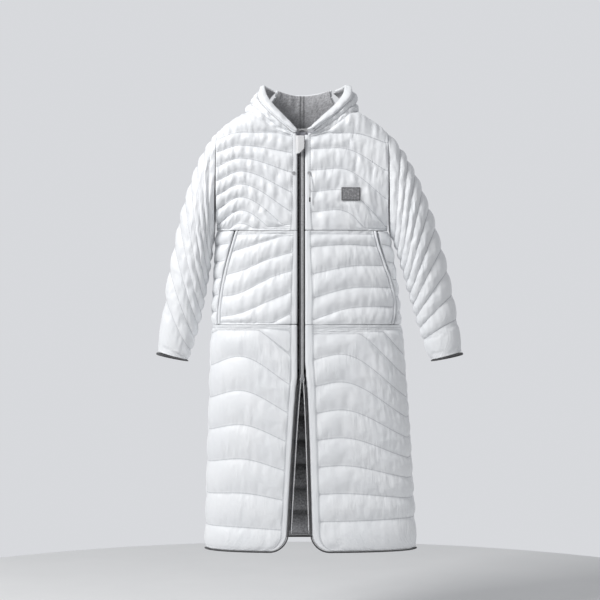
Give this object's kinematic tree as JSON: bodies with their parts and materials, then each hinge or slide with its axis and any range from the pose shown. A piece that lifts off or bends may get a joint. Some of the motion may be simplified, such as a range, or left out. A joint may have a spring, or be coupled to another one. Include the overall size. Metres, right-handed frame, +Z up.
{
  "type": "hooded quilted coat",
  "caption": "Long hooded quilted coat on its hanger line: front zip with a slider at each end, slanted hand pockets, fleece lining, bound hem and cuffs.",
  "frame": {"origin": "the seat of the neck on its hanger: middle of the neck opening, on the level of the shoulder line", "axes": "+X to the wearer's left, -Y out of the front, +Z up"},
  "size_m": [0.86, 0.2291, 1.2989],
  "materials": {
    "shell": "satin quilted nylon",
    "fleece": "brushed fleece",
    "facing": "matte twill",
    "tape": "matte herringbone tape",
    "label": "matte woven",
    "binding": "matte ribbed",
    "zip_tape": "matte twill",
    "zip_teeth": "moulded",
    "metal": "satin nickel",
    "patch": "matte felt",
    "cord": "braided",
    "cord_tip": "moulded"
  },
  "bodies": {
    "coat": {"front_upper_right": "shell", "front_upper_left": "shell", "pocket_panel_right": "shell", "pocket_panel_left": "shell", "pocket_edge_right": "shell", "pocket_edge_left": "shell", "side_panel_right": "shell", "side_panel_left": "shell", "pocket_bag_right": "fleece", "pocket_bag_left": "fleece", "front_skirt_right": "shell", "front_skirt_left": "shell", "back_upper": "shell", "back_middle": "shell", "back_skirt": "shell", "front_lining_right": "fleece", "front_lining_left": "fleece", "back_lining": "fleece", "back_neck_facing": "facing", "neck_tape": "tape", "neck_label": "label", "hang_loop": "binding", "front_binding_right": "binding", "front_binding_left": "binding", "back_hem_binding": "binding", "zip_tape_right": "zip_tape", "zip_tape_left": "zip_tape", "zip_teeth_right": "zip_teeth", "zip_teeth_left": "zip_teeth", "zip_end_pins": "metal", "zip_garage": "tape", "chest_patch": "patch", "cord_eyelets": "metal", "drawcord": "cord", "cord_tip": "cord_tip", "hood_wall_right": "shell", "hood_wall_left": "shell", "hood_wall_lining_right": "fleece", "hood_wall_lining_left": "fleece", "hood_rim_right": "shell", "hood_rim_left": "shell"},
    "right_sleeve": {"sleeve_right": "shell", "sleeve_lining_right": "fleece", "cuff_binding_right": "binding"},
    "left_sleeve": {"sleeve_left": "shell", "sleeve_lining_left": "fleece", "cuff_binding_left": "binding"},
    "hood": {"hood_rim_back": "shell", "hood_centre": "shell", "hood_side_right": "shell", "hood_side_left": "shell", "hood_under": "shell", "hood_lining": "fleece"},
    "upper_slider": {"upper_slider": "metal"},
    "upper_puller": {"upper_puller": "metal"},
    "lower_slider": {"lower_slider": "metal"},
    "lower_puller": {"lower_puller": "metal"}
  },
  "joints": [
    {"name": "right_sleeve_swing", "type": "hinge", "parent": "coat", "child": "right_sleeve", "pos_m": [-0.2415, 0, -0.044], "axis": [0, 1, 0], "range_deg": [0, 60]},
    {"name": "left_sleeve_swing", "type": "hinge", "parent": "coat", "child": "left_sleeve", "pos_m": [0.2415, 0, -0.044], "axis": [0, -1, 0], "range_deg": [0, 60]},
    {"name": "hood_fold", "type": "hinge", "parent": "coat", "child": "hood", "pos_m": [0, 0.048, 0.096], "axis": [1, 0, 0], "range_deg": [0, 120]},
    {"name": "upper_slider_run", "type": "slide", "parent": "coat", "child": "upper_slider", "axis": [0, 0.0526, 0.9986], "range_m": [-0.62, 0]},
    {"name": "upper_puller_swing", "type": "hinge", "parent": "upper_slider", "child": "upper_puller", "pos_m": [0, -0.06889, -0.07184], "axis": [-1, 0, 0], "range_deg": [0, 20]},
    {"name": "lower_slider_run", "type": "slide", "parent": "coat", "child": "lower_slider", "axis": [0, 0.0526, 0.9986], "range_m": [0, 0.6]},
    {"name": "lower_puller_swing", "type": "hinge", "parent": "lower_slider", "child": "lower_puller", "pos_m": [0, -0.1031, -0.72184], "axis": [-1, 0, 0], "range_deg": [0, 150]}
  ]
}
